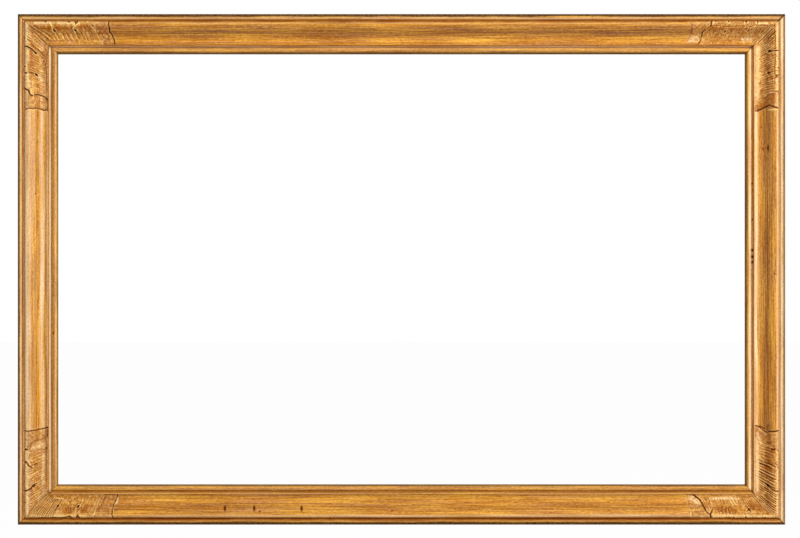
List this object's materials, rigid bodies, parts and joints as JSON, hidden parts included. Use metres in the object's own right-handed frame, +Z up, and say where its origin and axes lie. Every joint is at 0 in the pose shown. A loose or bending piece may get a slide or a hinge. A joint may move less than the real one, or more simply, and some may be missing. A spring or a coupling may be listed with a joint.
{
  "type": "ornate gilded picture frame",
  "caption": "Mitred gilt picture frame with a carved leaf at each corner, a rebate for the picture, turn buttons that hold it in and a pair of hanging rings.",
  "frame": {"origin": "centre of the whole object's box", "axes": "+X to the right seen from the front, along the long rails; +Y from the carved front back to the wall; +Z up"},
  "size_m": [1.282, 0.041, 0.853],
  "materials": {
    "gilded_wood": "worn water gilding over red clay, satin",
    "bare_wood": "aged and unfinished",
    "brass": "dull, handled",
    "steel": "darkened",
    "felt": "wool felt"
  },
  "bodies": {
    "frame": {"top_rail": "gilded_wood", "bottom_rail": "gilded_wood", "left_rail": "gilded_wood", "right_rail": "gilded_wood", "corner_key_top_left": "bare_wood", "corner_key_top_right": "bare_wood", "corner_key_bottom_left": "bare_wood", "corner_key_bottom_right": "bare_wood", "mitre_nails": "steel", "turn_button_screws": "steel", "hanger_strap_left": "brass", "hanger_strap_right": "brass", "hanger_screws": "steel", "wall_pad_left": "felt", "wall_pad_right": "felt"},
    "turn_button_top_left": {"turn_button_top_left": "brass"},
    "turn_button_top_right": {"turn_button_top_right": "brass"},
    "turn_button_bottom_left": {"turn_button_bottom_left": "brass"},
    "turn_button_bottom_right": {"turn_button_bottom_right": "brass"},
    "turn_button_left_upper": {"turn_button_left_upper": "brass"},
    "turn_button_left_lower": {"turn_button_left_lower": "brass"},
    "turn_button_right_upper": {"turn_button_right_upper": "brass"},
    "turn_button_right_lower": {"turn_button_right_lower": "brass"},
    "hanger_ring_left": {"hanger_ring_left": "brass"},
    "hanger_ring_right": {"hanger_ring_right": "brass"}
  },
  "joints": [
    {"name": "turn_button_top_left_swivel", "type": "hinge", "parent": "frame", "child": "turn_button_top_left", "pos_m": [-0.3, 0.0155, 0.377], "axis": [0, 1, 0], "continuous": true},
    {"name": "turn_button_top_right_swivel", "type": "hinge", "parent": "frame", "child": "turn_button_top_right", "pos_m": [0.3, 0.0155, 0.377], "axis": [0, 1, 0], "continuous": true},
    {"name": "turn_button_bottom_left_swivel", "type": "hinge", "parent": "frame", "child": "turn_button_bottom_left", "pos_m": [-0.3, 0.0155, -0.377], "axis": [0, 1, 0], "continuous": true},
    {"name": "turn_button_bottom_right_swivel", "type": "hinge", "parent": "frame", "child": "turn_button_bottom_right", "pos_m": [0.3, 0.0155, -0.377], "axis": [0, 1, 0], "continuous": true},
    {"name": "turn_button_left_upper_swivel", "type": "hinge", "parent": "frame", "child": "turn_button_left_upper", "pos_m": [-0.5915, 0.0155, 0.23], "axis": [0, 1, 0], "continuous": true},
    {"name": "turn_button_left_lower_swivel", "type": "hinge", "parent": "frame", "child": "turn_button_left_lower", "pos_m": [-0.5915, 0.0155, -0.23], "axis": [0, 1, 0], "continuous": true},
    {"name": "turn_button_right_upper_swivel", "type": "hinge", "parent": "frame", "child": "turn_button_right_upper", "pos_m": [0.5915, 0.0155, 0.23], "axis": [0, 1, 0], "continuous": true},
    {"name": "turn_button_right_lower_swivel", "type": "hinge", "parent": "frame", "child": "turn_button_right_lower", "pos_m": [0.5915, 0.0155, -0.23], "axis": [0, 1, 0], "continuous": true},
    {"name": "hanger_ring_left_swing", "type": "hinge", "parent": "frame", "child": "hanger_ring_left", "pos_m": [-0.608, 0.01783, 0.13], "axis": [1, 0, 0], "range_deg": [0, 176]},
    {"name": "hanger_ring_right_swing", "type": "hinge", "parent": "frame", "child": "hanger_ring_right", "pos_m": [0.608, 0.01783, 0.13], "axis": [1, 0, 0], "range_deg": [0, 176]}
  ]
}
